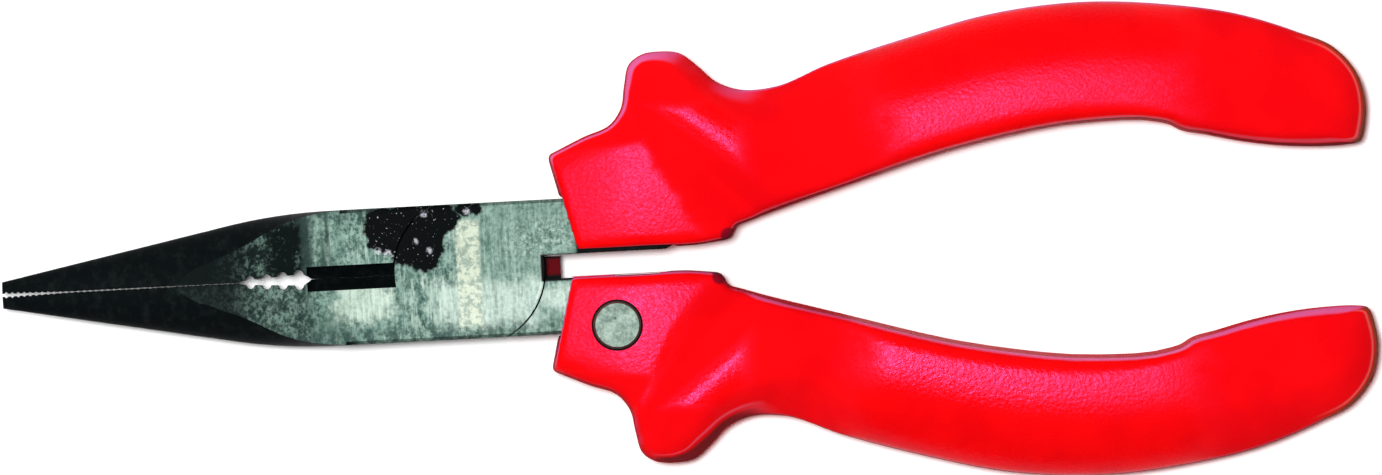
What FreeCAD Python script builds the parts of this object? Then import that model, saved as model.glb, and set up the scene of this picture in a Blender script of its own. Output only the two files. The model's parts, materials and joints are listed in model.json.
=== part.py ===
"""Needle nose pliers, 160 mm long: two lap-jointed steel halves turning on a flush rivet, two moulded
grips with finger guards, and one steel pin in each grip.

Everything is drawn about the pivot first: +X towards the handles, +Y across the tool, Z along the
rivet, with z = 0 where the two halves meet. place() then moves each piece into the part's own frame,
whose origin is the middle of the footprint, on the surface that the tool lies on.

The front half has the -Y jaw and the +Y handle. The rear half is the same forging turned over about X,
and so are its grip and its pin; only the rear half has the closing stop.
"""

import FreeCAD
import Part

import math
import os

V = FreeCAD.Vector
X_AXIS, Y_AXIS, Z_AXIS = V(1, 0, 0), V(0, 1, 0), V(0, 0, 1)

# Overall sizes, in millimetres
OVERALL_LENGTH = 160.0
JAW_REACH = 54.7  # pivot to jaw tip
GRIP_THICKNESS = 12.4
HANDLE_END = OVERALL_LENGTH - JAW_REACH  # pivot to the end of the grips

# Head
HEAD_THICKNESS = 9.0
HEAD_HALF_WIDTH = 7.9
HEAD_CHAMFER = 0.4
HEAD_END = 12.4  # where the head's parallel sides stop, inside the grips
NOSE_END = -14.8  # where the tapered nose meets the straight head
FACE = HEAD_THICKNESS / 2
NOSE_TAPER = 0.195  # half width gained per millimetre from the tip
NOSE_EASE_START, NOSE_EASE_END = 26.6, 38.5  # distances from the tip
TIP_HALF_WIDTH = 1.55
FACE_EXTRA = 0.3  # the nose is shaped this much oversize before its faces are ground flat
JAW_GAP = 0.08  # between the closed jaws

# Lap joint
DISC_RADIUS = 8.75
RECESS_RADIUS = 8.95  # the hollow in the other half that a disc turns in
LAYER_GAP = 0.1  # between the flat faces of the two discs
RIVET_RADIUS = 2.6
RIVET_HEAD_RADIUS = 3.9
RIVET_HEAD_DEPTH = 1.3
RIVET_CLEARANCE = 0.03

# Jaw faces
TIP_GAP = 0.34  # opening left between the jaw tips, running out along the serrations
TIP_GAP_RUN = 7.5
TOOTH_PITCH = 0.7
TIP_TOOTH_DEPTH, TOOTH_DEPTH = 0.24, 0.10  # coarse serrations at the tips, fine ones behind
TOOTH_FLAT = 0.16
PIPE_START, PIPE_END = -27.4, -18.5  # the toothed oval for round stock
PIPE_TEETH_START = -25.7
PIPE_TOOTH_PITCH = 1.9
PIPE_TOOTH_RADIUS = 0.62
PIPE_DEPTHS = (0.25, 0.65)  # depth of the oval's wall at its two ends
CUTTER_GAP = 0.03
CUTTER_HALF_WIDTH = 1.45
CUTTER_BEVEL_DEPTH = 2.1

# Tang, the part of each half that the grip sleeve covers
TANG_INNER = 1.4  # the straight inner edge beside the gap between the handles
TANG_STRAIGHT_END = 23.0
TANG_END = 88.0
TANG_FULL_END = 22.0  # where the tang starts to thin down
TANG_END_THICKNESS = 5.0

# Closing stop of the rear half
STOP_REACH = 10.6
STOP_CLEARANCE = 0.2
STOP_DROP = 0.6

# Grip pin
PIN_X, PIN_Y = 16.9, 7.2
PIN_HEAD_RADIUS = 2.8
PIN_HEAD_TOP = 5.95
PIN_CHAMFER = 0.25
PIN_SHANK_RADIUS = 1.6
PIN_SHANK_END = 0.8
PIN_HOLE_RADIUS = 3.0

# Grip
GRIP_TOP = GRIP_THICKNESS / 2
COLLAR_OUTER, COLLAR_INNER = V(9.7, 12.6, 0), V(12.4, 1.5, 0)  # the ends of its slanted front edge
FLAT_EXTRA = 0.05  # the blank stands this much proud of the flat faces
RECESS_START, RECESS_END = 30.6, 83.4  # the shallow finger recess along the inner side
RECESS_RAMP = 1.3
RECESS_DEPTH = 1.25

BIG = 200.0


def place(shape):
    """Moves a shape from the pivot's frame to the part's frame."""
    moved = shape.copy()
    moved.translate(V(JAW_REACH - OVERALL_LENGTH / 2, 0, GRIP_TOP))
    return moved


def turned_over(shape):
    """The same piece for the other half: half a turn about the tool's long axis."""
    turned = shape.copy()
    turned.rotate(V(0, 0, 0), X_AXIS, 180)
    return turned


def box(x0, x1, y0, y1, z0, z1):
    return Part.makeBox(x1 - x0, y1 - y0, z1 - z0, V(x0, y0, z0))


def cylinder(radius, z0, z1, x=0.0, y=0.0):
    return Part.makeCylinder(radius, z1 - z0, V(x, y, z0))


def spline(points, start=None, end=None):
    """One smooth edge through the points, leaving and arriving in the given directions if any."""
    curve = Part.BSplineCurve()
    if start:
        curve.interpolate(Points=points, InitialTangent=start, FinalTangent=end)
    else:
        curve.interpolate(points)
    return curve.toShape()


def line(a, b):
    return Part.makeLine(a, b)


def prism(edges, direction):
    """The solid swept by a closed loop of edges along a straight line."""
    return Part.Face(Part.Wire(edges)).extrude(direction)


def plan_prism(points, z0, z1):
    """A straight-sided solid from a polygon of (x, y) corners."""
    corners = [V(x, y, z0) for x, y in points]
    return Part.Face(Part.makePolygon(corners + corners[:1])).extrude(V(0, 0, z1 - z0))


# --- steel halves


def nose_section(x, half_width, half_height):
    """A D-shaped loop across the jaw: an ellipse's flank on the -Y side, and straight sides to +Y."""
    reach = math.asin(min(1.0, (FACE + FACE_EXTRA) / half_height))
    steps = 8
    angles = [reach * (2 * i / steps - 1) for i in range(steps + 1)]
    flank = [V(x, -half_width * math.cos(a), half_height * math.sin(a)) for a in angles]
    top, bottom = V(x, 1, flank[-1].z), V(x, 1, flank[0].z)
    return Part.Wire(
        [spline(flank), line(flank[-1], top), line(top, bottom), line(bottom, flank[0])]
    )


def nose_half_width(distance):
    """An even taper from the tip that eases into the head's parallel sides."""
    ease = NOSE_TAPER / (2 * (NOSE_EASE_END - NOSE_EASE_START))
    if distance < NOSE_EASE_START:
        return TIP_HALF_WIDTH + NOSE_TAPER * distance
    return HEAD_HALF_WIDTH - ease * max(0.0, NOSE_EASE_END - distance) ** 2


def nose_blank():
    """The jaw's outside: a half-round taper whose flanks grow upright as they reach the head."""
    # distance from the tip, half height of the flank's ellipse
    stations = [
        (0.0, 1.4),
        (7.0, 2.44),
        (14.0, 3.47),
        (20.7, 4.5),
        (23.0, 4.8),
        (25.5, 5.1),
        (27.6, 5.4),
        (29.3, 5.9),
        (31.0, 6.8),
        (32.6, 8.2),
        (34.2, 10.3),
        (36.0, 13.5),
        (38.0, 20.0),
        (JAW_REACH + NOSE_END, 40.0),
    ]
    sections = [nose_section(d - JAW_REACH, nose_half_width(d), h) for d, h in stations]
    loft = Part.makeLoft(sections, True, True)
    return loft.common(box(-JAW_REACH, NOSE_END, -BIG, 0, -FACE, FACE))


def head_band():
    """The head's straight length, full width, with chamfered long edges."""
    w, c = HEAD_HALF_WIDTH, HEAD_CHAMFER
    corners = [(-w, FACE - c), (-w + c, FACE), (w - c, FACE), (w, FACE - c)]
    loop = corners + [(y, -z) for y, z in reversed(corners)]
    points = [V(NOSE_END, y, z) for y, z in loop]
    return Part.Face(Part.makePolygon(points + points[:1])).extrude(V(HEAD_END - NOSE_END, 0, 0))


def serrated_edge():
    """The toothed edge of the -Y jaw, from its tip to the pipe grip, as (x, y) corners."""
    edge = []
    x = -JAW_REACH
    while x + TOOTH_PITCH < PIPE_START:
        run_out = max(0.0, 1 - (x + JAW_REACH) / TIP_GAP_RUN)
        crest = -JAW_GAP / 2 - (TIP_GAP - JAW_GAP) / 2 * run_out
        middle = x + (TOOTH_FLAT + TOOTH_PITCH) / 2
        depth = TOOTH_DEPTH + (TIP_TOOTH_DEPTH - TOOTH_DEPTH) * run_out
        edge += [(x, crest), (x + TOOTH_FLAT, crest), (middle, crest - depth)]
        x += TOOTH_PITCH
    return edge + [(x, -JAW_GAP / 2)]


def jaw_face_cutter():
    """Everything above the -Y jaw's working edge: serrations, pipe grip wall and cutter line."""
    near, far = PIPE_DEPTHS
    edge = serrated_edge() + [
        (PIPE_START, -JAW_GAP / 2),
        (PIPE_START + 0.8, -near),
        (PIPE_END - 1.3, -far),
        (PIPE_END - 0.9, -far),
        (PIPE_END, -CUTTER_GAP / 2),
        (1.0, -CUTTER_GAP / 2),
    ]
    start = (-JAW_REACH - 1, edge[0][1])
    cutter = plan_prism([start] + edge + [(1.0, 2.0), (-JAW_REACH - 1, 2.0)], -BIG, BIG)
    for i in range(4):
        share = i / 3
        depth = near + (far - near) * share
        x = PIPE_TEETH_START + i * PIPE_TOOTH_PITCH
        cutter = cutter.fuse(cylinder(PIPE_TOOTH_RADIUS, -BIG, BIG, x, -depth + 0.1))
    return cutter


def cutter_bevels():
    """What is ground away from both faces to leave the wedge of the cutting edge."""
    w, d = CUTTER_HALF_WIDTH, CUTTER_BEVEL_DEPTH
    bevels = []
    for side in (1, -1):
        profile = [(-CUTTER_GAP / 2, 0), (-w, side * d), (-w, side * BIG), (1, side * BIG), (1, 0)]
        points = [V(PIPE_END - 0.5, y, z) for y, z in profile]
        length = -DISC_RADIUS + 1.0 - (PIPE_END - 0.5)
        bevels.append(Part.Face(Part.makePolygon(points + points[:1])).extrude(V(length, 0, 0)))
    return bevels[0].fuse(bevels[1])


def jaw():
    """The -Y jaw with its cutter, reaching in to the pivot."""
    head = head_band().common(box(NOSE_END, 0, -BIG, 0, -FACE, FACE))
    blank = nose_blank().fuse(head)
    return blank.cut(jaw_face_cutter()).cut(cutter_bevels())


def tang_plan():
    """The +Y tang seen from above: straight along the gap, then following the grip."""
    inner = [V(TANG_STRAIGHT_END, TANG_INNER, 0), V(36, 7.4, 0), V(50, 12.3, 0), V(64, 16.0, 0)]
    inner += [V(77, 17.0, 0), V(TANG_END, 15.6, 0)]
    outer = [V(TANG_END, 19.4, 0), V(77, 21.2, 0), V(64, 20.3, 0), V(50, 17.3, 0)]
    outer += [V(36, 13.9, 0), V(24, 11.8, 0), V(18, 11.0, 0), V(14.5, 9.8, 0)]
    outer += [V(HEAD_END, HEAD_HALF_WIDTH, 0)]
    start = [V(0, HEAD_HALF_WIDTH, 0), V(0, TANG_INNER, 0)]
    end_middle = V(TANG_END + 1.7, 17.5, 0)
    return [
        line(start[1], inner[0]),
        spline(inner),
        Part.Arc(inner[-1], end_middle, outer[0]).toShape(),
        spline(outer),
        line(outer[-1], start[0]),
        line(start[0], start[1]),
    ]


def tang():
    """The +Y tang, full thickness at the joint and thinner towards its end."""
    plan = prism(tang_plan(), V(0, 0, 2 * FACE))
    plan.translate(V(0, 0, -FACE))
    end, far = TANG_END_THICKNESS / 2, TANG_END + 5
    corners = [(0, FACE), (TANG_FULL_END, FACE), (TANG_FULL_END + 16, end), (far, end)]
    loop = corners + [(x, -z) for x, z in reversed(corners)]
    points = [V(x, -BIG, z) for x, z in loop]
    side = Part.Face(Part.makePolygon(points + points[:1])).extrude(V(0, 2 * BIG, 0))
    beyond_band = box(HEAD_END, BIG, -BIG, BIG, -BIG, BIG)
    return plan.common(side).common(head_band().fuse(beyond_band))


def rivet_hole(extra):
    """The rivet's own shape, larger all round by extra."""
    shank = cylinder(RIVET_RADIUS + extra, -FACE, FACE)
    for side in (1, -1):
        neck = V(0, 0, side * (FACE - RIVET_HEAD_DEPTH))
        cone = Part.makeCone(
            RIVET_RADIUS + extra, RIVET_HEAD_RADIUS + extra, RIVET_HEAD_DEPTH, neck, Z_AXIS * side
        )
        shank = shank.fuse(cone)
    return shank


def half(rivet_clearance):
    """The front half: jaw, disc on the +Z side of the joint, and tang with its pin hole."""
    steel = jaw().fuse(tang()).cut(cylinder(RECESS_RADIUS, -BIG, LAYER_GAP / 2))
    disc = cylinder(DISC_RADIUS, LAYER_GAP / 2, FACE).common(head_band())
    steel = steel.fuse(disc).cut(rivet_hole(rivet_clearance))
    steel = steel.cut(cylinder(PIN_SHANK_RADIUS, -FACE, -PIN_SHANK_END, PIN_X, PIN_Y))
    return steel.removeSplitter()


def closing_stop():
    """The rear half's lug, at the inner end of the gap between the handles."""
    return box(
        DISC_RADIUS - 1.5, STOP_REACH, -TANG_INNER, TANG_INNER - STOP_CLEARANCE, -FACE, -STOP_DROP
    )


# --- grips


def grip_section(x, inner, outer, half_height, corner, round_width):
    """A D-shaped loop across the grip: upright inner wall, flat top and bottom, rounded outer side."""
    h, r, shoulder = half_height, corner, outer - round_width
    flat_end = max(shoulder, inner + r + 0.3)
    steps = 8
    side = []
    for i in range(steps + 1):
        a = math.pi * i / steps
        side.append(V(x, flat_end + (outer - flat_end) * math.sin(a), h * math.cos(a)))
    turn = r * (1 - math.sqrt(0.5))
    wall_top, top = V(x, inner, h - r), V(x, inner + r, h)
    wall_low, low = V(x, inner, r - h), V(x, inner + r, -h)
    return Part.Wire(
        [
            line(wall_low, wall_top),
            Part.Arc(wall_top, V(x, inner + turn, h - turn), top).toShape(),
            line(top, side[0]),
            spline(side, Y_AXIS, -Y_AXIS),
            line(side[-1], low),
            Part.Arc(low, V(x, inner + turn, turn - h), wall_low).toShape(),
        ]
    )


def grip_blank():
    """The +Y grip's outside, from ahead of the collar to the rounded end, before its faces are made flat."""
    t = GRIP_TOP + FLAT_EXTRA
    # x, inner edge, outer edge, half thickness, inner corner radius, width of the rounded outer side
    stations = [
        (8.0, 1.75, 11.9, t, 0.8, 1.2),
        (13.0, 1.75, 14.0, t, 0.8, 1.2),
        (17.4, 1.8, 15.9, t, 0.9, 1.6),
        (18.6, 1.8, 17.4, t, 0.9, 3.0),
        (19.4, 1.85, 20.6, t, 1.0, 5.5),
        (20.3, 1.85, 22.9, t, 1.0, 7.5),
        (21.6, 1.9, 23.7, t, 1.0, 8.5),
        (23.4, 1.9, 24.0, t, 1.0, 9.0),
        (25.4, 1.95, 23.5, t, 1.2, 9.0),
        (27.5, 2.0, 21.9, t, 1.4, 8.5),
        (30.0, 2.3, 20.0, t, 1.7, 8.2),
        (33.0, 3.2, 19.0, t, 1.9, 8.2),
        (37.0, 4.35, 19.5, t, 2.0, 8.2),
        (43.0, 6.05, 21.9, t, 2.0, 8.2),
        (52.0, 8.5, 24.4, t, 2.0, 8.4),
        (62.0, 10.9, 26.8, t, 2.0, 8.6),
        (73.0, 12.3, 27.7, t, 2.0, 9.0),
        (83.0, 11.85, 26.95, t, 2.0, 9.0),
        (91.0, 10.35, 25.3, t - 0.3, 2.2, 9.0),
        (98.0, 9.4, 22.9, t - 0.9, 2.2, 8.5),
        (102.0, 9.45, 20.9, t - 1.5, 2.2, 7.5),
        (104.2, 10.1, 18.6, t - 2.2, 1.9, 5.5),
        (HANDLE_END, 12.0, 16.4, t - 3.4, 1.0, 2.4),
    ]
    blank = Part.makeLoft([grip_section(*s) for s in stations], True, True)
    return blank.common(box(0, BIG, 0, BIG, -GRIP_TOP, GRIP_TOP))


def finger_recess():
    """What the shallow recess takes off the grip's inner side."""
    floor = [(29.4, 3.25), (44.0, 7.6), (60.0, 11.8), (73.0, 13.55), (85.0, 12.8)]
    top = spline([V(x, y, -BIG) for x, y in floor])
    first, last = top.valueAt(top.FirstParameter), top.valueAt(top.LastParameter)
    low_first, low_last = V(first.x, -5, -BIG), V(last.x, -5, -BIG)
    edges = [line(low_first, first), top, line(last, low_last), line(low_last, low_first)]
    recess = prism(edges, V(0, 0, 2 * BIG))
    ends = [
        (RECESS_START - RECESS_RAMP, -5),
        (RECESS_START, 3.75),
        (RECESS_START + 1, 20),
        (RECESS_END, 20),
        (RECESS_END, 12.9),
        (RECESS_END + RECESS_RAMP, 11.4),
        (RECESS_END + RECESS_RAMP, -5),
    ]
    return recess.common(plan_prism(ends, -BIG, BIG))


def grip(steel):
    """The +Y grip, moulded round the half's tang, with the pin's hole in its -Z face."""
    along = COLLAR_OUTER - COLLAR_INNER
    outside, inside = COLLAR_OUTER + along, COLLAR_INNER - along
    front = [(outside.x, outside.y), (inside.x, inside.y), (-BIG, inside.y), (-BIG, outside.y)]
    body = grip_blank().cut(plan_prism(front, -BIG, BIG))
    body = body.cut(finger_recess())
    body = body.cut(cylinder(PIN_HOLE_RADIUS, -BIG, -FACE, PIN_X, PIN_Y))
    filled = steel.fuse(cylinder(PIN_SHANK_RADIUS, -FACE, -PIN_SHANK_END, PIN_X, PIN_Y))
    return body.cut(filled)


def pin():
    """The +Y grip's pin: a flat chamfered head in the grip and a shank in the tang."""
    r, c = PIN_HEAD_RADIUS, PIN_CHAMFER
    head = cylinder(r, FACE, PIN_HEAD_TOP - c).fuse(
        Part.makeCone(r, r - c, c, V(0, 0, PIN_HEAD_TOP - c), Z_AXIS)
    )
    whole = head.fuse(cylinder(PIN_SHANK_RADIUS, PIN_SHANK_END, FACE)).removeSplitter()
    whole.rotate(V(0, 0, 0), X_AXIS, 180)
    whole.translate(V(PIN_X, PIN_Y, 0))
    return whole


def main():
    front = half(0.0)
    rear = turned_over(half(RIVET_CLEARANCE)).fuse(closing_stop()).removeSplitter()
    upper_grip = grip(front)
    pieces = {
        "front_jaw_half": front,
        "rear_jaw_half": rear,
        "pivot_rivet": rivet_hole(0.0).removeSplitter(),
        "upper_grip": upper_grip,
        "lower_grip": turned_over(upper_grip),
        "upper_grip_pin": pin(),
        "lower_grip_pin": turned_over(pin()),
    }
    os.makedirs("parts", exist_ok=True)
    for name, shape in pieces.items():
        solid = place(shape)
        solid.exportStep(f"parts/{name}.step")
        size = solid.BoundBox
        print(
            f"{name}: {len(solid.Solids)} solid, valid {solid.isValid()}, {solid.Volume:.0f} mm3, "
            f"x {size.XMin:.2f}..{size.XMax:.2f}, y {size.YMin:.2f}..{size.YMax:.2f}, "
            f"z {size.ZMin:.2f}..{size.ZMax:.2f}, centre {solid.CenterOfGravity}"
        )


main()
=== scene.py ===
"""Needle nose pliers: grips, finishes, floor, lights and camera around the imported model."""

import json
import math

import bmesh
import bpy
import numpy as np
from mathutils import Matrix, Vector


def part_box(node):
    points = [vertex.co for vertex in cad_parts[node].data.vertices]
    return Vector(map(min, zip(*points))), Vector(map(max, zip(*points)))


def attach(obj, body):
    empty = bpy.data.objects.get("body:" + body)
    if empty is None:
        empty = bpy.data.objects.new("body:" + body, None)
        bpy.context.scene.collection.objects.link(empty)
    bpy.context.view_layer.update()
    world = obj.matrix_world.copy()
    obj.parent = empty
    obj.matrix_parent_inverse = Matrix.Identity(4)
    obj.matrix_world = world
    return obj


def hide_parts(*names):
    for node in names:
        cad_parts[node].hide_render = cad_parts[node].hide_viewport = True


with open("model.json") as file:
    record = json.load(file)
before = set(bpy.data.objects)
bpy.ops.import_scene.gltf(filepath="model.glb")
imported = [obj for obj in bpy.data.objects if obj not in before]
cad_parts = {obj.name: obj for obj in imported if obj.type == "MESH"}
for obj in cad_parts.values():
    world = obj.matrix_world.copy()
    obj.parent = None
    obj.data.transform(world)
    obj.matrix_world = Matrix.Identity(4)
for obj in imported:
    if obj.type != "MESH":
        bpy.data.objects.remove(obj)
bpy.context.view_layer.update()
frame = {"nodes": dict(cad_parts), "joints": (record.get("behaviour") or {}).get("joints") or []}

MM = 0.001

# The frame's own places, in millimetres
JOINT = frame["joints"][0]
PIVOT = Vector(JOINT["pos_m"]) / MM
HALF_GRIP = PIVOT.z
HEAD_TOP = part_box("front_jaw_half")[1].z / MM
FACE = HEAD_TOP - PIVOT.z
HANDLE_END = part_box("upper_grip")[1].x / MM - PIVOT.x


# --- geometry helpers


def smooth_line(points, per_span=8):
    """A smooth line through rows of numbers. Columns after the first two are carried along too."""
    p = np.array(points, float)
    length = np.hypot(*np.diff(p[:, :2], axis=0).T)[:, None]
    slope = np.diff(p, axis=0) / length
    turn = (length[1:] * slope[:-1] + length[:-1] * slope[1:]) / (length[:-1] + length[1:])
    slope = np.vstack([slope[:1], turn, slope[-1:]])
    t = np.linspace(0, 1, per_span, endpoint=False)[:, None]
    leave, arrive = (1 + 2 * t) * (1 - t) ** 2, t**2 * (3 - 2 * t)
    leave_slope, arrive_slope = t * (1 - t) ** 2, t**2 * (1 - t)
    spans = [
        leave * a + leave_slope * h * m + arrive * b - arrive_slope * h * n
        for a, b, h, m, n in zip(p, p[1:], length, slope, slope[1:])
    ]
    return np.vstack(spans + [p[-1:]])


SAME_DISTANCE = 1e-9


def side_distance(u, v, line):
    """Signed distance from points to an open line, positive on its left, and its other columns there."""
    a, b = line[:-1], line[1:]
    run = b[:, :2] - a[:, :2]
    best = np.full(u.shape, np.inf)
    across, signed = np.zeros(u.shape), np.zeros(u.shape)
    extra = np.zeros(u.shape + (line.shape[1] - 2,))
    last = len(run) - 1
    for i, (dx, dy) in enumerate(run):
        pu, pv = u - a[i, 0], v - a[i, 1]
        t = (pu * dx + pv * dy) / (dx * dx + dy * dy)
        t = np.clip(t, -np.inf if i == 0 else 0.0, np.inf if i == last else 1.0)
        distance = np.hypot(pu - t * dx, pv - t * dy)
        height = (dx * pv - dy * pu) / math.hypot(dx, dy)
        # At a shared corner both runs are as near, and the one seen more squarely knows the side
        tied = (distance < best + SAME_DISTANCE) & (np.abs(height) > across)
        near = (distance < best - SAME_DISTANCE) | tied
        across = np.where(near, np.abs(height), across)
        best = np.where(near, distance, best)
        signed = np.where(near, np.sign(height) * distance, signed)
        share = np.clip(t, 0, 1)[..., None]
        extra = np.where(near[..., None], a[i, 2:] * (1 - share) + b[i, 2:] * share, extra)
    return signed, extra


def smooth_max(a, b, width):
    """The larger of two fields, with the crease between them rounded."""
    h = np.maximum(width - np.abs(a - b), 0) / width
    return np.maximum(a, b) + h * h * width / 4


def step(x, low, high):
    """0 below low, 1 above high and an S between them."""
    t = np.clip((x - low) / (high - low), 0, 1)
    return t * t * (3 - 2 * t)


def surface_of(field, low, pitch):
    """The quad mesh where a sampled field crosses zero, by surface nets: one point per crossed cell."""
    inside = field < 0
    nx, ny, nz = field.shape
    total = np.zeros((nx - 1, ny - 1, nz - 1, 3))
    count = np.zeros((nx - 1, ny - 1, nz - 1))
    for axis in range(3):
        first = [slice(None)] * 3
        second = [slice(None)] * 3
        first[axis], second[axis] = slice(None, -1), slice(1, None)
        fa, fb = field[tuple(first)], field[tuple(second)]
        crossed = inside[tuple(first)] != inside[tuple(second)]
        part = np.where(crossed, fa / np.where(crossed, fa - fb, 1), 0)
        others = [k for k in range(3) if k != axis]
        for i in (0, 1):
            for j in (0, 1):
                pick = [slice(None)] * 3
                pick[others[0]] = slice(i, i - 1 or None)
                pick[others[1]] = slice(j, j - 1 or None)
                hit = crossed[tuple(pick)]
                total[..., axis] += np.where(hit, part[tuple(pick)], 0)
                total[..., others[0]] += hit * i
                total[..., others[1]] += hit * j
                count += hit
    active = count > 0
    cells = np.argwhere(active)
    points = cells + total[active] / count[active][:, None]
    number = np.full(active.shape, -1)
    number[active] = np.arange(len(cells))
    quads = []
    for axis in range(3):
        b, c = (axis + 1) % 3, (axis + 2) % 3
        first = [slice(None)] * 3
        second = [slice(None)] * 3
        first[axis], second[axis] = slice(None, -1), slice(1, None)
        here, there = inside[tuple(first)], inside[tuple(second)]
        at = np.argwhere(here != there)
        at = at[(at[:, b] > 0) & (at[:, c] > 0)]
        at = at[(at[:, b] < field.shape[b] - 1) & (at[:, c] < field.shape[c] - 1)]
        outward = here[tuple(at.T)]
        corners = []
        for db, dc in ((1, 1), (0, 1), (0, 0), (1, 0)):
            cell = at.copy()
            cell[:, b] -= db
            cell[:, c] -= dc
            corners.append(number[tuple(cell.T)])
        corners = np.array(corners).T
        quads.append(np.where(outward[:, None], corners, corners[:, ::-1]))
    return points * pitch + low, np.vstack(quads)


RELAX_ROUNDS, RELAX_AMOUNTS = 3, (0.55, -0.57)


def relax(points, quads):
    """Evens out a mesh without shrinking it: each round a step towards the neighbours and one back."""
    ends = np.vstack([quads[:, [i, (i + 1) % 4]] for i in range(4)])
    degree = np.bincount(ends.ravel(), minlength=len(points))[:, None]
    for _ in range(RELAX_ROUNDS):
        for amount in RELAX_AMOUNTS:
            total = np.zeros_like(points)
            np.add.at(total, ends[:, 0], points[ends[:, 1]])
            np.add.at(total, ends[:, 1], points[ends[:, 0]])
            points = points + amount * (total / degree - points)
    return points


def mesh_object(name, points, faces):
    """A smooth-shaded object from points and faces, in whatever unit the points have."""
    mesh = bpy.data.meshes.new(name)
    mesh.from_pydata(points.tolist(), [], faces.tolist())
    mesh.shade_smooth()
    piece = bpy.data.objects.new(name, mesh)
    bpy.context.scene.collection.objects.link(piece)
    return piece


# --- grips

# Lines of the +Y grip seen from above, in millimetres from the pivot. Each point gives x, y, then how
# far the rounding reaches inward from the line and how far down from the flat face.
GRIP_OUTER = [
    (4.0, 10.0, 3.6, 1.5),
    (9.7, 12.6, 3.6, 1.5),
    (14.0, 14.55, 3.6, 1.6),
    (17.4, 16.0, 3.2, 1.7),
    (18.55, 17.6, 2.2, 2.0),
    (19.1, 20.3, 1.9, 2.5),
    (19.85, 22.85, 1.9, 2.7),
    (21.2, 23.8, 2.0, 2.7),
    (23.4, 24.1, 2.5, 2.9),
    (25.7, 23.8, 3.2, 3.2),
    (27.9, 22.1, 4.2, 3.7),
    (29.8, 20.3, 4.9, 4.1),
    (32.6, 19.15, 5.6, 4.6),
    (36.2, 19.2, 6.6, 5.4),
    (43.0, 21.7, 8.4, 6.2),
    (52.0, 24.4, 9.0, 6.2),
    (62.0, 26.8, 9.2, 6.2),
    (73.0, 27.7, 9.2, 6.2),
    (83.0, 26.9, 9.0, 6.2),
    (91.0, 25.4, 8.6, 6.2),
    (98.0, 22.9, 8.0, 6.2),
    (102.2, 20.9, 7.4, 6.2),
    (104.8, 17.7, 6.8, 6.2),
    (105.6, 13.9, 6.0, 6.2),
    (105.1, 10.6, 5.0, 6.2),
    (103.6, 7.0, 4.5, 6.2),
]
GRIP_INNER = [
    (110.0, 10.9, 2.2, 4.7),
    (104.2, 9.5, 2.2, 4.6),
    (98.0, 9.45, 2.4, 3.6),
    (91.0, 10.4, 2.3, 2.8),
    (86.6, 11.45, 2.1, 2.4),
    (83.7, 12.15, 2.0, 2.2),
    (82.6, 12.8, 1.8, 2.1),
    (81.4, 13.15, 1.8, 2.0),
    (73.0, 13.55, 2.6, 2.0),
    (60.0, 11.8, 2.6, 2.0),
    (44.0, 7.6, 2.4, 1.9),
    (32.0, 4.0, 1.7, 1.8),
    (30.9, 3.6, 1.6, 1.8),
    (30.2, 2.35, 1.6, 1.7),
    (28.2, 1.9, 1.7, 1.5),
    (20.0, 1.7, 1.7, 1.4),
    (12.4, 1.6, 1.7, 1.4),
    (4.0, 1.55, 1.7, 1.4),
]
OUTER_DRAFT, COLLAR_DRAFT = 0.06, 0.02
COLLAR_FRONT = [(12.75, 0.0, 1.1, 0.9), (9.6, 13.0, 1.1, 0.9)]
# The edge where the collar's flat ends, and the ridge of the finger guard beyond it
COLLAR_EDGE = [(19.6, 18.5), (20.4, 15.5), (21.4, 12.9), (24.4, 7.4), (27.1, 4.0), (29.4, 1.0)]
RIDGE = [(20.5, 21.8), (23.3, 18.9), (25.8, 16.9), (29.2, 14.1), (32.6, 11.3), (36.6, 8.6), (41.0, 5.0)]
RIDGE_TOP = (20.5, 21.8)
COLLAR_MIDDLE, COLLAR_CROWN = (22.0, 8.8), 100.0
# The body's highest line; the face falls away gently to both sides
CREST = [(34.0, 10.5), (42.0, 11.2), (50.0, 13.0), (62.0, 15.9), (71.0, 17.0), (82.0, 16.8)]
CREST += [(94.0, 15.6), (106.0, 14.0)]
BODY_START, BODY_FULL, BODY_CROWN = 40.0, 50.0, 44.0
BODY_SLANT, BODY_SLANT_FROM = 0.2, 12
NECK_DEPTH, NECK_CROWN = 0.9, 1.6
# Slope and softness of the falls beside the collar and on the two sides of the ridge
COLLAR_FALL, RIDGE_FALL, BACK_FALL = (0.28, 1.0), (0.48, 3.2), (0.20, 2.6)
GROOVE_CREASE, BACK_CREASE = 0.25, 0.3
GROOVE_DEEPENS, GROOVE_EVEN, GROOVE_RUN = 0.04, 3, 14
CROWN_RAMP, COLLAR_RAMP, GUARD_RAMP = (3, 11), (0.0, 3.0), (30, 36)
END_DROP, END_DROP_START, END_DROP_RUN = 1.9, 80, 23
GUARD_DROP, GUARD_DROP_FROM = 0.04, 16.8
# Where a grip's offset on its tang fades out, and where the inner wall takes its own draft
SEAT_RAMP, DRAFT_RAMP = (34, 58), (27, 33)
OUTER_BLEND, INNER_BLEND, FRONT_BLEND = 0.6, 0.5, 0.3
LEAST_REACH = 0.5
# The sampled grid: spacing, first corner and far side, with a margin past the grip
PITCH, QUICK_PITCH = 0.35, 0.5
GRID_START, GRID_FAR_SIDE, GRID_PAST_END, GRID_PAST_FACE = (8.0, 0.6), 29.0, 1.2, 1.0
SHARP_ANGLE = math.radians(50)

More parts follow.
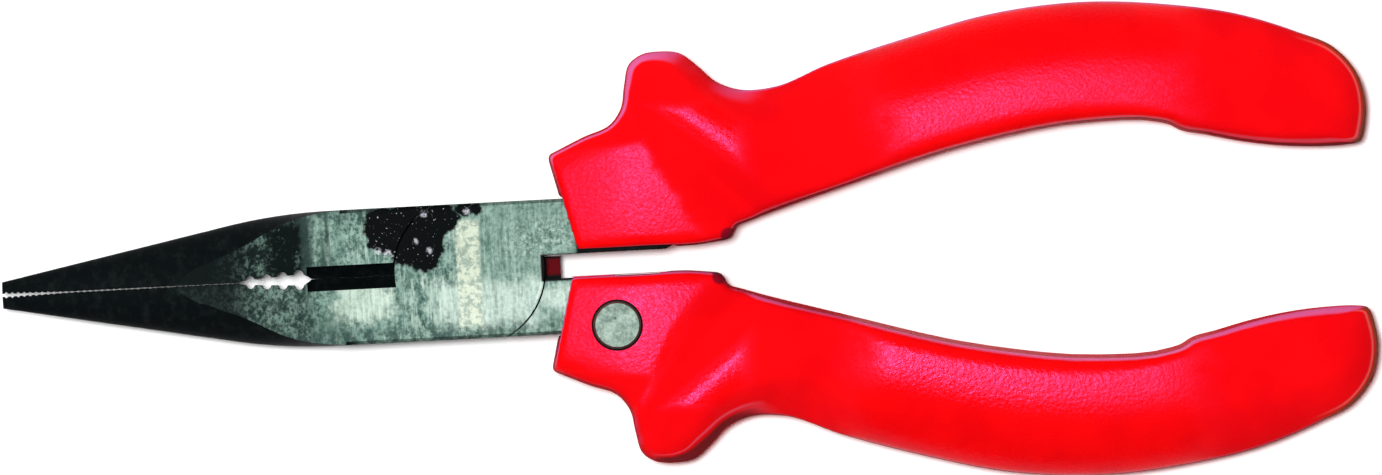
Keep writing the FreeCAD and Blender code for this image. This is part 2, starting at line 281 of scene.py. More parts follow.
# The tang that a grip sits on, as in the steel under it
TANG_INNER = [(23.0, 1.4), (36.0, 7.4), (50.0, 12.3), (64.0, 16.0), (77.0, 17.0), (88.0, 15.6)]
TANG_OUTER = [(88.0, 19.4), (77.0, 21.2), (64.0, 20.3), (50.0, 17.3), (36.0, 13.9), (24.0, 11.8)]
TANG_OUTER += [(18.0, 11.0), (14.5, 9.8), (12.4, 7.9)]
TANG_START, TANG_END_MIDDLE = -20.0, (89.7, 17.5)
TANG_THIN_START, TANG_THIN_RUN, TANG_THIN_HALF = 22.0, 16.0, 2.5
TANG_ROOM = 0.07

PIN_HOLE_RADIUS, PIN_HOLE_CHAMFER, PIN_HOLE_STEPS = 3.0, 0.12, 96
PIN_PLACE, PIN_HOLE_FLOOR = (16.9, 7.2), 4.4
PIN_HOLE_SINK, PIN_HOLE_ABOVE = 0.02, 1


def tang_field(u, v, z):
    """Negative inside the tang, with a little room round it."""
    top = smooth_line(TANG_OUTER)
    bottom = smooth_line(TANG_INNER)
    middle = np.array([TANG_END_MIDDLE])
    first, last = (TANG_START, TANG_INNER[0][1]), (TANG_START, TANG_OUTER[-1][1])
    loop = np.vstack([[first], bottom, middle, top, [last]])
    plan = -side_distance(u, v, loop)[0]
    beyond = u - TANG_END_MIDDLE[0]
    thin = np.clip((u - TANG_THIN_START) / TANG_THIN_RUN, 0, 1)
    half = FACE + (TANG_THIN_HALF - FACE) * thin
    return np.maximum(np.maximum(plan, beyond), np.abs(z) - half) - TANG_ROOM


def rounded_side(distance, reach, drop, half, z, draft):
    """Negative inside: a nearly upright wall, then a quarter of an ellipse over to the flat face."""
    drop = np.minimum(drop, half)
    distance = distance - draft * np.minimum(np.abs(z), half - drop)
    reach = np.maximum(reach - draft * (half - drop), LEAST_REACH)
    across = np.maximum(reach - distance, 0) / reach
    up = np.maximum(np.abs(z) - half + drop, 0) / drop
    return (np.hypot(across, up) - 1) * np.minimum(reach, drop)


def fall_from(distance, slope, soft):
    """A drop that starts level at a line and steepens to a slope."""
    return slope * (np.sqrt(distance**2 + soft**2) - soft)


def relief(u, v):
    """How far the face lies under its highest level."""
    past_collar = side_distance(u, v, smooth_line(COLLAR_EDGE))[0]
    past_ridge = side_distance(u, v, smooth_line(RIDGE))[0]
    along = np.hypot(u - RIDGE_TOP[0], v - RIDGE_TOP[1])
    deeper = 1 + GROOVE_DEEPENS * np.clip(along - GROOVE_EVEN, 0, GROOVE_RUN)
    from_collar = fall_from(np.maximum(past_collar, 0), *COLLAR_FALL)
    from_ridge = fall_from(np.maximum(-past_ridge, 0), *RIDGE_FALL)
    groove = -smooth_max(-from_collar, -from_ridge, GROOVE_CREASE)
    groove = np.maximum(groove, 0) * deeper
    body = step(u + BODY_SLANT * (v - BODY_SLANT_FROM), BODY_START, BODY_FULL)
    back = fall_from(np.maximum(past_ridge, 0), *BACK_FALL)
    back = -smooth_max(-back, -NECK_DEPTH * (1 - body), BACK_CREASE)
    across = side_distance(u, v, smooth_line(CREST))[0]
    rounder = 1 + NECK_CROWN * (1 - body)
    crown = across**2 * rounder / (2 * BODY_CROWN) * step(past_ridge, *CROWN_RAMP)
    collar = np.hypot(u - COLLAR_MIDDLE[0], v - COLLAR_MIDDLE[1]) ** 2 / (2 * COLLAR_CROWN)
    collar = collar * (1 - step(past_collar, *COLLAR_RAMP))
    end = END_DROP * np.clip((u - END_DROP_START) / END_DROP_RUN, 0, 2) ** 1.5
    guard = GUARD_DROP * np.maximum(v - GUARD_DROP_FROM, 0) ** 2 * (1 - step(u, *GUARD_RAMP))
    return groove + np.maximum(back, 0) + crown + collar + end + guard


def grip_field(u, v, z, seat, inner_seat, inner_draft):
    """Negative inside the +Y grip. u, v lie on a flat grid and z is added as the last axis."""
    hold = 1 - step(u, *SEAT_RAMP)
    pu, pv = u - seat[0] * hold, v - seat[1] * hold
    out_distance, out = side_distance(pu, pv, smooth_line(GRIP_OUTER))
    inner_line = smooth_line(GRIP_INNER, 4)
    iu, iv = u - inner_seat[0] * hold, v - inner_seat[1] * hold
    in_distance, inner = side_distance(iu, iv, inner_line)
    front_distance, front = side_distance(pu, pv, np.array(COLLAR_FRONT, float))
    half = HALF_GRIP - relief(pu, pv)
    half = half[..., None]
    inner_draft = COLLAR_DRAFT + (inner_draft - COLLAR_DRAFT) * step(u, *DRAFT_RAMP)[..., None]
    sides = [
        (-out_distance, out, OUTER_BLEND, OUTER_DRAFT),
        (-in_distance, inner, INNER_BLEND, inner_draft),
        (-front_distance, front, FRONT_BLEND, OUTER_DRAFT),
    ]
    field = np.abs(z) - half
    for distance, extra, width, draft in sides:
        side = rounded_side(distance[..., None], extra[..., 0:1], extra[..., 1:2], half, z, draft)
        field = smooth_max(field, side, width)
    return field


def pin_hole():
    """A solid that cuts the pin's round hole with a chamfered rim at its upper end."""
    radius, wide = PIN_HOLE_RADIUS, PIN_HOLE_RADIUS + PIN_HOLE_CHAMFER
    high = HALF_GRIP - PIN_HOLE_SINK
    levels = [
        (PIN_HOLE_FLOOR, radius),
        (high - PIN_HOLE_CHAMFER, radius),
        (high, wide),
        (high + PIN_HOLE_ABOVE, wide),
    ]
    x, y = PIN_PLACE
    turns = [2 * math.pi * i / PIN_HOLE_STEPS for i in range(PIN_HOLE_STEPS)]
    made = bmesh.new()
    rings = [
        [made.verts.new((x + r * math.cos(t), y + r * math.sin(t), z)) for t in turns]
        for z, r in levels
    ]
    for under, over in zip(rings, rings[1:]):
        for i in range(PIN_HOLE_STEPS):
            made.faces.new((under[i - 1], under[i], over[i], over[i - 1]))
    made.faces.new(rings[0][::-1])
    made.faces.new(rings[-1])
    return made


def grip(name, node, body, seat, inner_seat, inner_draft, turned):
    """A moulded grip with a hollow for its tang, in place of the plain one."""
    pitch = PITCH
    low = np.array([*GRID_START, -HALF_GRIP - GRID_PAST_FACE])
    high = np.array([HANDLE_END + GRID_PAST_END, GRID_FAR_SIDE, HALF_GRIP + GRID_PAST_FACE])
    us, vs, zs = (np.arange(a, b, pitch) for a, b in zip(low, high))
    u, v = np.meshgrid(us, vs, indexing="ij")
    field = grip_field(u, v, zs[None, None, :], seat, inner_seat, inner_draft)
    room = tang_field(u[..., None], v[..., None], zs[None, None, :])
    field = np.maximum(field, -room)
    points, quads = surface_of(field, low, pitch)
    piece = mesh_object(name, relax(points, quads), quads)
    cutter = bpy.data.objects.new("pin_hole", bpy.data.meshes.new("pin_hole"))
    hole = pin_hole()
    bmesh.ops.scale(hole, vec=(1, 1, -1), verts=hole.verts)
    bmesh.ops.reverse_faces(hole, faces=hole.faces)
    hole.to_mesh(cutter.data)
    hole.free()
    bpy.context.scene.collection.objects.link(cutter)
    cut = piece.modifiers.new("pin_hole", "BOOLEAN")
    cut.operation, cut.solver, cut.object = "DIFFERENCE", "EXACT", cutter
    evaluated = piece.evaluated_get(bpy.context.evaluated_depsgraph_get())
    whole = bpy.data.meshes.new_from_object(evaluated)
    piece.modifiers.clear()
    piece.data = whole
    bpy.data.objects.remove(cutter)
    if turned:
        whole.transform(Matrix.Rotation(math.pi, 4, "X"))
    whole.transform(Matrix.Scale(MM, 4) @ Matrix.Translation(PIVOT))
    whole.shade_smooth()
    whole.set_sharp_from_angle(angle=SHARP_ANGLE)
    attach(piece, body)
    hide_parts(node)
    return piece


# --- materials


class Wire:
    """A value in a node tree. Arithmetic on it adds math nodes."""

    def __init__(self, tree, socket):
        self.tree, self.socket = tree, socket

    def math(self, operation, *others):
        made = self.tree.nodes.new("ShaderNodeMath")
        made.operation = operation
        for place, value in zip(made.inputs, (self,) + others):
            if isinstance(value, Wire):
                self.tree.links.new(value.socket, place)
            else:
                place.default_value = value
        return Wire(self.tree, made.outputs[0])

    def __add__(self, other):
        return self.math("ADD", other)

    def __sub__(self, other):
        return self.math("SUBTRACT", other)

    def __mul__(self, other):
        return self.math("MULTIPLY", other)

    __radd__, __rmul__ = __add__, __mul__

    def __rsub__(self, other):
        return self * -1 + other

    def least(self, other):
        return self.math("MINIMUM", other)

    def most(self, other):
        return self.math("MAXIMUM", other)

    def hypot(self, other):
        return (self * self + other * other).math("SQRT")

    def abs(self):
        return self.math("ABSOLUTE")

    def step(self, low, high):
        """0 at low, 1 at high and an S between them; low may be the greater."""
        made = self.tree.nodes.new("ShaderNodeMapRange")
        made.interpolation_type = "SMOOTHSTEP"
        self.tree.links.new(self.socket, made.inputs["Value"])
        ends = (low, high, 0, 1) if low < high else (high, low, 1, 0)
        for place, value in zip(("From Min", "From Max", "To Min", "To Max"), ends):
            made.inputs[place].default_value = value
        return Wire(self.tree, made.outputs["Result"])

    def band(self, low, high, soft):
        """1 between low and high, with soft ends."""
        return self.step(low - soft, low + soft) * self.step(high + soft, high - soft)


# How a noise's offset is spread over the three axes
OFFSET_SPREAD = (1, 1.7, 0.6)


class Finish:
    """A node material. Uniform values sit on the shader's own sockets, and the rest is built from
    places in millimetres from the pivot."""

    def __init__(self, name, **sockets):
        self.material = bpy.data.materials.new(name)
        self.material.use_nodes = True
        self.tree = self.material.node_tree
        self.shader = self.tree.nodes["Principled BSDF"]
        for socket, value in sockets.items():
            self.shader.inputs[socket.replace("_", " ")].default_value = value
        coordinates = self.tree.nodes.new("ShaderNodeTexCoord")
        scale = self.tree.nodes.new("ShaderNodeVectorMath")
        scale.operation = "SCALE"
        scale.inputs["Scale"].default_value = 1 / MM
        self.tree.links.new(coordinates.outputs["Object"], scale.inputs[0])
        shift = self.tree.nodes.new("ShaderNodeVectorMath")
        shift.operation = "SUBTRACT"
        shift.inputs[1].default_value = PIVOT
        self.tree.links.new(scale.outputs[0], shift.inputs[0])
        self.place = shift.outputs[0]
        self.x, self.y, self.z = self.split(self.place)
        self.nx, self.ny, self.nz = self.split(coordinates.outputs["Normal"])

    def split(self, vector):
        made = self.tree.nodes.new("ShaderNodeSeparateXYZ")
        self.tree.links.new(vector, made.inputs[0])
        return [Wire(self.tree, socket) for socket in made.outputs]

    def moved(self, stretch, offset):
        made = self.tree.nodes.new("ShaderNodeVectorMath")
        made.operation = "MULTIPLY_ADD"
        self.tree.links.new(self.place, made.inputs[0])
        made.inputs[1].default_value = stretch
        made.inputs[2].default_value = [offset * share for share in OFFSET_SPREAD]
        return made.outputs[0]

    def noise(self, size, detail=2.0, roughness=0.5, stretch=(1, 1, 1), offset=0.0):
        """Noise from 0 to 1 with features of about a size in mm."""
        made = self.tree.nodes.new("ShaderNodeTexNoise")
        self.tree.links.new(self.moved(stretch, offset), made.inputs["Vector"])
        made.inputs["Scale"].default_value = 1 / size
        made.inputs["Detail"].default_value = detail
        made.inputs["Roughness"].default_value = roughness
        return Wire(self.tree, made.outputs["Fac"])

    def cells(self, size):
        """Distance to the nearest of scattered points, in shares of their spacing."""
        made = self.tree.nodes.new("ShaderNodeTexVoronoi")
        self.tree.links.new(self.place, made.inputs["Vector"])
        made.inputs["Scale"].default_value = 1 / size
        return Wire(self.tree, made.outputs["Distance"])

    def near(self, x, y, reach, soft):
        """1 within a reach of an upright line at x, y."""
        return (self.x - x).hypot(self.y - y).step(reach + soft, reach - soft)

    def mix(self, share, first, second):
        made = self.tree.nodes.new("ShaderNodeMix")
        made.data_type = "RGBA"
        self.tree.links.new(share.socket, made.inputs["Factor"])
        for place, value in ((made.inputs[6], first), (made.inputs[7], second)):
            if isinstance(value, Wire):
                self.tree.links.new(value.socket, place)
            else:
                place.default_value = (*value, 1)
        return Wire(self.tree, made.outputs[2])

    def bump(self, height, distance, strength):
        made = self.tree.nodes.new("ShaderNodeBump")
        made.inputs["Distance"].default_value = distance * MM
        made.inputs["Strength"].default_value = strength
        self.tree.links.new(height.socket, made.inputs["Height"])
        return Wire(self.tree, made.outputs[0])

    def link(self, **sockets):
        for socket, wire in sockets.items():
            self.tree.links.new(wire.socket, self.shader.inputs[socket.replace("_", " ")])
        return self.material


# The vinyl's colours; those for walls, edge lines, the end, the inner corner and the pin's hole are
# painted shade, reflection and highlight
DEEP_RED, BRIGHT_RED, CLOUD_RED = (0.73, 0.0014, 0.003), (0.81, 0.0020, 0.003), (0.62, 0.001, 0.003)
WALL_SHADE_RED, SMUDGE_RED = (0.48, 0.0015, 0.005), (0.25, 0.001, 0.004)
MAUVE_REFLECTION, PALE_HIGHLIGHT_LINE, BROWN_SHADE_LINE = (0.70, 0.12, 0.33), (0.72, 0.10, 0.16), (0.12, 0.008, 0.008)
END_HIGHLIGHT_LINE, END_SHADE = (0.72, 0.22, 0.20), (0.11, 0.050, 0.012)
CORNER_MAROON, HOLE_WALL_SHADE = (0.12, 0.003, 0.012), (0.16, 0.006, 0.010)
SMUDGE_PLACE = (93.6, 20.6)
# Straight stand-ins for the collar's edge and the guard's ridge: a * x + b * y - c
COLLAR_LINE, RIDGE_LINE = (0.864, 0.503, 25.0), (0.612, 0.791, 29.1)
# How far the lower grip's places differ from the upper one's
LOWER_SHIFT, ALL_SHIFT = (0.75, 0.85), -0.4
INNER_CORNER, UPPER_CORNER_SHIFT = (29.9, 2.6), (0.5, 0.4)


def past_line(x, y, line):
    return x * line[0] + y * line[1] - line[2]


def vinyl():
    f = Finish("red_vinyl", Specular_Tint=(1.0, 0.26, 1.0, 1), Specular_IOR_Level=0.07)
    grain = f.noise(0.3, 3, 0.65)
    pebble = f.cells(0.5)
    broad = f.noise(7.0, 2)
    cloud = f.noise(2.2, 3, 0.6, offset=4.0)
    smudge = f.near(*SMUDGE_PLACE, 0.1, 1.3) * f.noise(0.5, 3, 0.7).step(0.35, 0.65)
    tone = f.mix(broad.step(0.35, 0.65), DEEP_RED, BRIGHT_RED)
    tone = f.mix(cloud.step(0.62, 0.8) * 0.25, tone, CLOUD_RED)
    tone = f.mix(smudge * 0.5, tone, SMUDGE_RED)
    # Walls are painted a deeper red as shade. Their rounded edges get a painted mauve reflection where
    # they face the front left, and painted brown shade below a painted pale highlight line on the other
    # side
    upright = f.nz.abs()
    wall = upright.step(0.45, 0.15)
    lower = f.y.step(0.5, -0.5)
    outer = (f.ny * (1 - lower * 2)).step(-0.3, 0.1) * f.x.step(30.0, 36.0)
    light_facing = f.ny * 0.8 - f.nx * 0.6
    front = f.z.step(-0.3, 0.3)
    lit_side, shaded_side = light_facing.step(0.2, 0.8) * front, light_facing.step(-0.2, -0.8) * front
    guard = f.x.step(35.0, 29.0) * f.y.abs().step(12.0, 14.0) * shaded_side
    tone = f.mix(wall * 0.8, tone, WALL_SHADE_RED)
    tinted = f.mix(outer, upright.band(0.18, 0.56, 0.10), upright.band(0.10, 0.34, 0.08))
    tone = f.mix(tinted * lit_side * (0.9 - outer * 0.25), tone, MAUVE_REFLECTION)
    pale = f.mix(outer, upright.band(0.38, 0.56, 0.08), upright.band(0.28, 0.36, 0.04))
    pale = f.mix(guard, pale, upright.band(0.56, 0.61, 0.03))
    tone = f.mix(pale * shaded_side * 0.6, tone, PALE_HIGHLIGHT_LINE)
    brown = f.mix(outer, upright.band(0.06, 0.34, 0.05), upright.band(0.08, 0.22, 0.05))
    brown = f.mix(guard, brown, upright.band(0.12, 0.48, 0.06))
    tone = f.mix(brown * shaded_side * 0.9, tone, BROWN_SHADE_LINE)
    # A crescent of painted shade at the handle's end, with a painted pale highlight line inside it
    crescent = f.nx.step(0.15, 0.50) * f.x.step(97.0, 100.0) * front
    tone = f.mix(crescent * upright.band(0.56, 0.62, 0.04) * 0.5, tone, END_HIGHLIGHT_LINE)
    tone = f.mix(crescent * upright.band(-0.1, 0.50, 0.05) * 0.75, tone, END_SHADE)
    # Hands polish the raised faces; the groove, the neck and the guard's tip stay dull
    x, y = f.x + lower * LOWER_SHIFT[0], f.y.abs() + lower * LOWER_SHIFT[1] + ALL_SHIFT
    past_collar, past_ridge = past_line(x, y, COLLAR_LINE), past_line(x, y, RIDGE_LINE)
    drift = (cloud - 0.5) * 2.5
    groove = (past_collar + drift - lower * 1.2).step(-1.0, 1.2) * past_ridge.step(-1.0, -2.4)
    neck = past_ridge.step(2.0, 4.4).most(x.step(31.0, 35.0))
    neck = neck * (x + y * 0.2 + lower * 3.5 + drift * 2.5).step(56.0, 45.5)
    body = x.step(42.0, 50.0)
    ridge = past_ridge.band(-1.0, 2.0, 0.7) * x.step(36.0, 32.0)
    shoulder = (y - x * 0.1).step(11.0, 12.4) * past_collar.step(1.0, -0.2)
    tip = (y + drift * 0.4).step(16.8, 18.6) * x.step(31.0, 27.0)
    end = (x + drift * 1.5).step(82.0, 91.0)
    fading = x.step(58.0, 86.0) * 0.10
    # The shaded inner corner where the collar ends
    corner_x = x - INNER_CORNER[0] - (1 - lower) * UPPER_CORNER_SHIFT[0]
    corner_y = y - INNER_CORNER[1] + (1 - lower) * UPPER_CORNER_SHIFT[1]
    corner = corner_x.hypot(corner_y).step(1.1, 0.7)
    tone = f.mix(corner * 0.85, tone, CORNER_MAROON)
    # The pin's hole: its wall only, which the chamfer makes a little wider than the hole, painted dark
    # maroon as shade
    rim = PIN_HOLE_RADIUS + PIN_HOLE_CHAMFER
    hole = (f.x - PIN_PLACE[0]).hypot(f.y.abs() - PIN_PLACE[1]).step(rim + 0.10, rim + 0.02)
    hole = hole * upright.step(0.85, 0.65)
    tone = f.mix(hole, tone, HOLE_WALL_SHADE)
    dull = groove.most(neck).most(shoulder).most(tip).most(end)
    dull = dull.most(wall * 0.5).most(corner).most(hole)
    tip_end = x.step(20.0, 14.0) * 0.10
    speckle = grain.step(0.35, 0.65) * 0.14
    polish = lower * 0.02 + lower * body * 0.06 + ridge * 0.05
    roughness = 0.15 + speckle + tip_end + cloud * 0.10 + fading + dull * 0.8 - polish
    roughness = roughness.least(1.0)
    height = grain * 0.6 + pebble * 0.4
    return f.link(Base_Color=tone, Roughness=roughness, Normal=f.bump(height, 0.05, 0.8))


# Middles and reaches of the near-black patch's blots, in mm from the pivot
BLACK_PATCH_BLOTS = [(-9.9, 5.9, 2.2), (-10.0, 4.2, 1.7), (-7.0, 6.0, 2.5), (-7.4, 2.8, 1.9), (-4.2, 6.0, 2.3)]
BLACK_PATCH_BLOTS += [(-5.4, 3.4, 2.6), (-5.2, 1.9, 1.7), (-2.6, 6.4, 1.7), (-0.2, 7.3, 1.0), (1.1, 7.3, 0.8)]
# Bright specks in it: middle and reach
BRIGHT_SPECKS = [(-5.0, 7.0, 0.40), (0.0, 7.0, 0.35), (-9.4, 2.3, 0.60), (-10.6, 2.8, 0.40)]
BRIGHT_SPECKS += [(-4.5, 2.7, 0.30), (-6.1, 3.8, 0.25)]
# The steel's colours; a pair goes from dark to light
GROUND = (0.022, 0.052, 0.042), (0.18, 0.27, 0.23)
EVEN_GROUND = (0.058, 0.112, 0.090), (0.20, 0.285, 0.245)
SHADOWED = (0.003, 0.005, 0.005), (0.05, 0.08, 0.07)
GLINTS = (0.005, 0.010, 0.009), (0.085, 0.135, 0.115)
BLACK_PATCH_TONES = (0.002, 0.003, 0.003), (0.42, 0.42, 0.47)
CREAM = (0.21, 0.26, 0.22), (0.45, 0.49, 0.39)
OXIDE = (0.0030, 0.0045, 0.005), (0.008, 0.011, 0.011)
BAR_DARK, STREAK_LIGHT = (0.05, 0.10, 0.085), (0.36, 0.45, 0.40)
PALER, FLECK_LIGHT, FLECK_DARK = (0.42, 0.50, 0.45), (0.38, 0.45, 0.41), (0.03, 0.050, 0.045)
LIGHT_PATCH, DARK_PATCH, MIDDLE_PATCH = (0.40, 0.48, 0.41), (0.02, 0.045, 0.037), (0.36, 0.45, 0.39)
BAND_DARK, TIP_BLACK, BORDER_DARK = (0.015, 0.028, 0.024), (0.004, 0.006, 0.006), (0.025, 0.045, 0.04)
# The last two: a painted highlight on the lap's edge, and a painted red reflection of the grips in shade
LAP_EDGE_HIGHLIGHT, SHADED_RED_REFLECTION = (0.5, 0.56, 0.52), (0.11, 0.002, 0.005)


def steel():
    f = Finish("blackened_steel", Specular_IOR_Level=0.006)
    mottle = f.noise(1.5, 5, 0.68, (1.4, 1, 1), 3.0)
    fine = f.noise(0.45, 3, 0.7, (1.2, 1, 1), 7.0)
    broad = f.noise(3.5, 2, 0.5, offset=13.0)
    streak = f.noise(0.6, 3, 0.6, (1.6, 0.15, 1), 5.0)
    bars = f.noise(1.8, 2, 0.5, (1.5, 0.12, 1), 29.0)
    flat = f.nz.abs().step(0.96, 0.995) * f.z.abs().step(FACE - 0.3, FACE - 0.05)
    wander_x = f.x + (f.noise(1.1, 3, 0.6, offset=11.0) - 0.5) * 1.7
    wander_y = f.y + (f.noise(1.0, 3, 0.6, offset=19.0) - 0.5) * 1.5
    rim = f.nz.abs().step(0.45, 0.6) * f.y.abs().step(6.0, 6.6) * wander_x.step(-15.0, -11.5)
    ground = flat.most(rim) * f.x.step(12.8, 12.2)
    drift_x = wander_x + (f.noise(2.4, 3, 0.65, offset=37.0) - 0.5) * 6.0
    drift_y = wander_y + (f.noise(2.0, 3, 0.65, offset=41.0) - 0.5) * 4.0
    front = f.z.step(-0.5, 0.5)
    # Ground faces: grey-green, with dark and light clouds
    speckled = mottle * 0.5 + fine * 0.5
    tone = f.mix(speckled.step(0.38, 0.60), *GROUND)
    tone = f.mix(bars.step(0.62, 0.38) * 0.45, tone, BAR_DARK)
    tone = f.mix(streak.step(0.52, 0.72) * 0.45, tone, STREAK_LIGHT)
    disc = wander_x.step(0.5, 3.0)
    even = f.mix((speckled * 0.6 + streak * 0.4).step(0.36, 0.64), *EVEN_GROUND)
    tone = f.mix(disc * 0.8, tone, even)
    paler = f.x.step(6.0, 9.0) * drift_y.band(-5.2, -2.2, 0.8)
    paler = paler.most(drift_x.band(-4.0, 8.0, 1.2) * drift_y.band(-6.4, -1.4, 1.0))
    tone = f.mix(paler * (fine * 0.8 + streak * 0.8 - 0.25).least(1.0), tone, PALER)
    flecked = drift_x.band(5.0, 13.0, 2.0) * drift_y.band(1.6, 5.4, 1.0)
    dots = f.noise(0.35, 2, 0.6, offset=47.0)
    tone = f.mix(flecked * dots.step(0.52, 0.68) * 0.5, tone, FLECK_LIGHT)
    tone = f.mix(flecked * dots.step(0.46, 0.34) * 0.6, tone, FLECK_DARK)
    light = drift_x.band(-16.2, -9.4, 1.0) * drift_y.step(-5.8, -4.2)
    light = light * f.y.step(-1.2, -1.5)
    tone = f.mix(light * (streak * 1.5 + fine * 0.5 - 0.35).least(0.95), tone, LIGHT_PATCH)
    darker = drift_x.band(-22.0, -14.5, 1.0) * drift_y.step(-3.4, -5.2)
    tone = f.mix(darker * 0.45, tone, DARK_PATCH)
    middle = drift_x.band(-8.0, -1.6, 1.0) * drift_y.band(-6.2, -0.4, 1.0)
    tone = f.mix(middle * (streak * 0.5 + mottle * 0.5).step(0.42, 0.62) * 0.6, tone, MIDDLE_PATCH)
    # Near black towards the nose, more so on the rear half's jaw
    upper = f.y.step(-0.8, 0.6)
    shadowed = f.mix(speckled.step(0.54, 0.67), *SHADOWED)
    glints = f.mix(speckled.step(0.46, 0.62), *GLINTS)
    nose = wander_x.step(-16.8, -20.0)
    brighter = upper * (1 - wander_x.band(-29.5, -23.5, 1.0) * 0.8)
    tone = f.mix(nose * (0.8 + upper * 0.2), tone, f.mix(brighter, glints, shadowed))
    dark_bands = (f.x + broad * 1.5).band(-18.6, -15.4, 0.4) * upper
    tone = f.mix(dark_bands * bars.step(0.60, 0.45) * 0.8, tone, BAND_DARK)
    tip = wander_x.step(-24.0, -28.5)
    tone = f.mix(tip * 0.9, tone, TIP_BLACK)
    border = wander_y.abs().step(5.8, 7.2) * f.x.step(1.0, -2.0)
    border = border.most(wander_y.step(-5.6, -6.8) * 0.8)
    tone = f.mix(border * mottle.step(0.62, 0.42) * 0.75, tone, BORDER_DARK)
    # A near-black patch with bright specks on the front
    patch = None
    for x, y, reach in BLACK_PATCH_BLOTS:
        blot = (wander_x - x).hypot(wander_y - y).step(reach + 0.25, reach - 0.25)
        patch = patch.most(blot) if patch else blot
    specks = f.noise(0.32, 2, 0.6, offset=23.0).step(0.66, 0.74) * 0.8
    for x, y, reach in BRIGHT_SPECKS:
        across, along = wander_x * 0.3 + f.x * 0.7 - x, wander_y * 0.3 + f.y * 0.7 - y
        speck = across.hypot(along).step(reach + 0.2, reach - 0.2)
        specks = specks.most(speck * fine.step(0.40, 0.56))
    black = f.mix(specks, *BLACK_PATCH_TONES)
    tone = f.mix(patch * front, tone, black)
    # A paler rubbed strip beside it
    rubbed_strip = (f.x + fine * 0.5).band(-1.2, 1.6, 0.2) * (f.y + fine * 0.5).band(-6.2, 6.2, 0.3)
    scuffs = f.noise(0.6, 3, 0.65, offset=31.0)
    cream = f.mix(scuffs.step(0.38, 0.60), *CREAM)
    rubbed = rubbed_strip * front * (1 - patch)
    tone = f.mix(rubbed * (0.45 + mottle * 0.7).least(0.9), tone, cream)
    # A painted highlight on the inner side of the lap's round edge
    lap_highlight = f.x.hypot(f.y).band(8.35, 8.62, 0.1) * f.x.step(7.0, 7.8) * f.y.band(-4.0, 1.5, 0.5)
    tone = f.mix(lap_highlight * front * 0.5, tone, LAP_EDGE_HIGHLIGHT)
    # Round the closing stop the black is whole, with a painted red reflection of the grips, darkened as
    # shade
    stop = f.x.band(8.3, 13.0, 0.15) * f.y.band(-1.7, 1.5, 0.15)
    oxide = f.mix(mottle.step(0.45, 0.75), *OXIDE)
    tone = f.mix(ground * (1 - stop), oxide, tone)
    red_reflection = f.x.band(9.0, 10.9, 0.25) * f.y.band(-0.95, 0.95, 0.25)
    tone = f.mix(red_reflection * (0.5 + mottle * 0.8).least(1.0), tone, SHADED_RED_REFLECTION)
    bare = ground * (1 - patch * front) * (1 - stop)
    metal = bare * (0.40 + mottle * 0.3)
    roughness = 0.40 + bare * 0.15 + mottle * 0.1
    height = fine * 0.4 + streak * bare * 0.4 + mottle * 0.4
    normal = f.bump(height, 0.035, 0.5)
    return f.link(Base_Color=tone, Metallic=metal, Roughness=roughness, Normal=normal)


PIN_DARK, PIN_LIGHT = (0.06, 0.09, 0.075), (0.20, 0.26, 0.22)
# The pin side colour is painted shade, tinted dark red
PIN_DOT, PIN_DOT_PLACE, PIN_SIDE_SHADE = (0.02, 0.025, 0.02), (16.7, -6.4), (0.12, 0.007, 0.009)


def pin_steel():
    f = Finish("turned_steel", Specular_IOR_Level=0.4)
    mottle = f.noise(0.8, 4, 0.65)
    fine = f.noise(0.25, 3, 0.7, offset=4.0)
    height = mottle * 0.6 + fine * 0.4
    tone = f.mix(height.step(0.36, 0.64), PIN_DARK, PIN_LIGHT)
    tone = f.mix(f.near(*PIN_DOT_PLACE, 0.16, 0.14) * 0.9, tone, PIN_DOT)
    # The pin's side, down in the hole, painted dark red as shade
    tone = f.mix(f.nz.abs().step(0.9, 0.6), tone, PIN_SIDE_SHADE)
    metal, roughness = 0.45 + mottle * 0.25, 0.45 + fine * 0.2
    normal = f.bump(height, 0.04, 0.5)
    return f.link(Base_Color=tone, Metallic=metal, Roughness=roughness, Normal=normal)


# --- scene


def paint(node, made):
    """Gives a CAD node one material."""
    piece = frame["nodes"][node]
    if not piece.material_slots:
        piece.data.materials.append(made)
    for slot in piece.material_slots:
        slot.material = made


# Each grip: the offsets of its outside and of its inner wall on the tang, and that wall's draft
UPPER_SEAT, UPPER_INNER_SEAT, UPPER_DRAFT = (0.0, 0.4), (0.5, 0.0), 0.045
LOWER_SEAT, LOWER_DRAFT = (-0.75, -0.45), 0.10

upper_shape = (UPPER_SEAT, UPPER_INNER_SEAT, UPPER_DRAFT, False)
lower_shape = (LOWER_SEAT, LOWER_SEAT, LOWER_DRAFT, True)
upper_grip = grip("upper_grip_moulding", "upper_grip", "front_lever", *upper_shape)
lower_grip = grip("lower_grip_moulding", "lower_grip", "rear_lever", *lower_shape)
red = vinyl()
for piece in (upper_grip, lower_grip):
    piece.data.materials.append(red)
dark = steel()
for node in ("front_jaw_half", "rear_jaw_half", "pivot_rivet"):
    paint(node, dark)
bright = pin_steel()
for node in ("upper_grip_pin", "lower_grip_pin"):
    paint(node, bright)

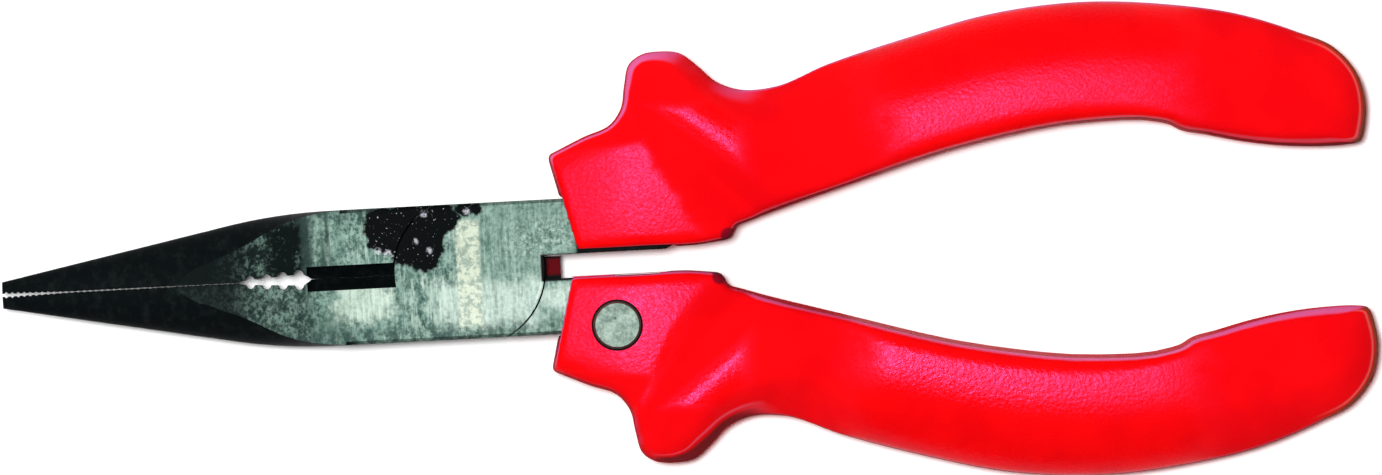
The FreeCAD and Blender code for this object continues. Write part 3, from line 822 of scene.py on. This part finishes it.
CAMERA_CENTRE = Vector((0.72, 2.56, HALF_GRIP)) * MM
CAMERA_DISTANCE = 2500 * MM
VIEW_WIDTH = 161.6 * MM
ROLL = math.radians(-3.0)
SENSOR_WIDTH = 36
FLOOR_HALF = 3.0
WORLD_STRENGTH = 0.04
# Name, place, size in metres, power
LIGHTS = [
    ("key", (-0.12, 0.08, 2.0), (0.25, 0.25), 47),
    ("fill", (-1.2, 1.2, 1.4), (0.6, 0.6), 12),
]


def camera():
    data = bpy.data.cameras.new("camera")
    data.sensor_fit = "HORIZONTAL"
    data.sensor_width = SENSOR_WIDTH
    data.lens = SENSOR_WIDTH * CAMERA_DISTANCE / VIEW_WIDTH
    data.clip_start = 0.01
    made = bpy.data.objects.new("camera", data)
    made.location = CAMERA_CENTRE + Vector((0, 0, CAMERA_DISTANCE))
    made.rotation_euler = (0, 0, ROLL)
    bpy.context.scene.collection.objects.link(made)
    bpy.context.scene.camera = made


def area_light(name, place, size, power):
    data = bpy.data.lights.new(name, "AREA")
    data.shape = "RECTANGLE"
    data.size, data.size_y = size
    data.energy = power
    made = bpy.data.objects.new(name, data)
    made.location = place
    made.rotation_euler = (-Vector(place)).to_track_quat("-Z", "Y").to_euler()
    made.visible_camera = False
    bpy.context.scene.collection.objects.link(made)


def floor():
    plane = mesh_object(
        "floor",
        np.array([(x, y, 0.0) for x, y in ((-1, -1), (1, -1), (1, 1), (-1, 1))]) * FLOOR_HALF,
        np.array([(0, 1, 2, 3)]),
    )
    f = Finish("paper", Roughness=0.9, Specular_IOR_Level=0.1)
    tone = f.mix(f.noise(40.0), (0.95, 0.95, 0.95), (0.98, 0.98, 0.98))
    plane.data.materials.append(f.link(Base_Color=tone))


camera()
for light in LIGHTS:
    area_light(*light)
floor()
world = bpy.data.worlds.new("studio")
world.use_nodes = True
background = world.node_tree.nodes["Background"]
background.inputs["Color"].default_value = (1, 1, 1, 1)
background.inputs["Strength"].default_value = WORLD_STRENGTH
bpy.context.scene.world = world
bpy.context.scene.view_settings.view_transform = "Standard"
